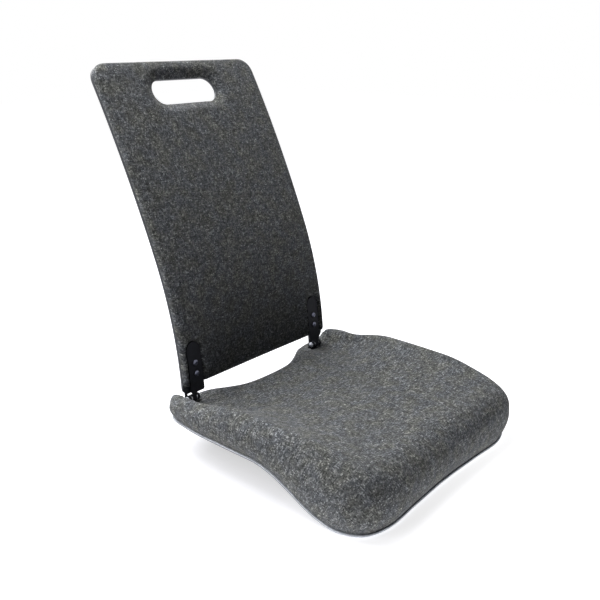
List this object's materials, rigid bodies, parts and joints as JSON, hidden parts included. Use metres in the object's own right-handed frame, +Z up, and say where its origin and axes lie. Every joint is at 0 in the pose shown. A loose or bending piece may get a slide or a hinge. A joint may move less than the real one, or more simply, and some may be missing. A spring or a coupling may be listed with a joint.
{
  "type": "folding floor chair",
  "caption": "Legless floor chair: a dished upholstered seat on a moulded shell, with a slim curved backrest that folds forward on two steel hinges.",
  "frame": {"origin": "on the floor under the middle of the seat's sole", "axes": "+Z up, -Y the way the sitter faces, X across the chair along the hinge line"},
  "size_m": [0.404, 0.5492, 0.5454],
  "materials": {
    "felt": "matte",
    "foam": "matte",
    "shell": "satin",
    "black_steel": "satin",
    "zinc": "satin"
  },
  "bodies": {
    "seat": {"seat_shell": "shell", "seat_foam": "foam", "seat_cover": "felt", "seat_bracket_left": "black_steel", "seat_bracket_right": "black_steel", "hinge_pin_left": "zinc", "hinge_pin_right": "zinc", "hinge_washer_inner_left": "zinc", "hinge_washer_outer_left": "zinc", "hinge_washer_inner_right": "zinc", "hinge_washer_outer_right": "zinc", "bracket_rivet_front_left": "zinc", "bracket_rivet_rear_left": "zinc", "bracket_rivet_front_right": "zinc", "bracket_rivet_rear_right": "zinc"},
    "backrest": {"back_shell": "shell", "back_foam": "foam", "back_cover": "felt", "back_strap_left": "black_steel", "back_strap_right": "black_steel", "strap_screw_lower_left": "black_steel", "strap_screw_upper_left": "black_steel", "strap_screw_lower_right": "black_steel", "strap_screw_upper_right": "black_steel", "strap_nut_lower_left": "zinc", "strap_nut_upper_left": "zinc", "strap_nut_lower_right": "zinc", "strap_nut_upper_right": "zinc"}
  },
  "joints": [
    {"name": "backrest_fold", "type": "hinge", "parent": "seat", "child": "backrest", "pos_m": [0, 0.178, 0.066], "axis": [1, 0, 0], "range_deg": [0, 76]}
  ]
}
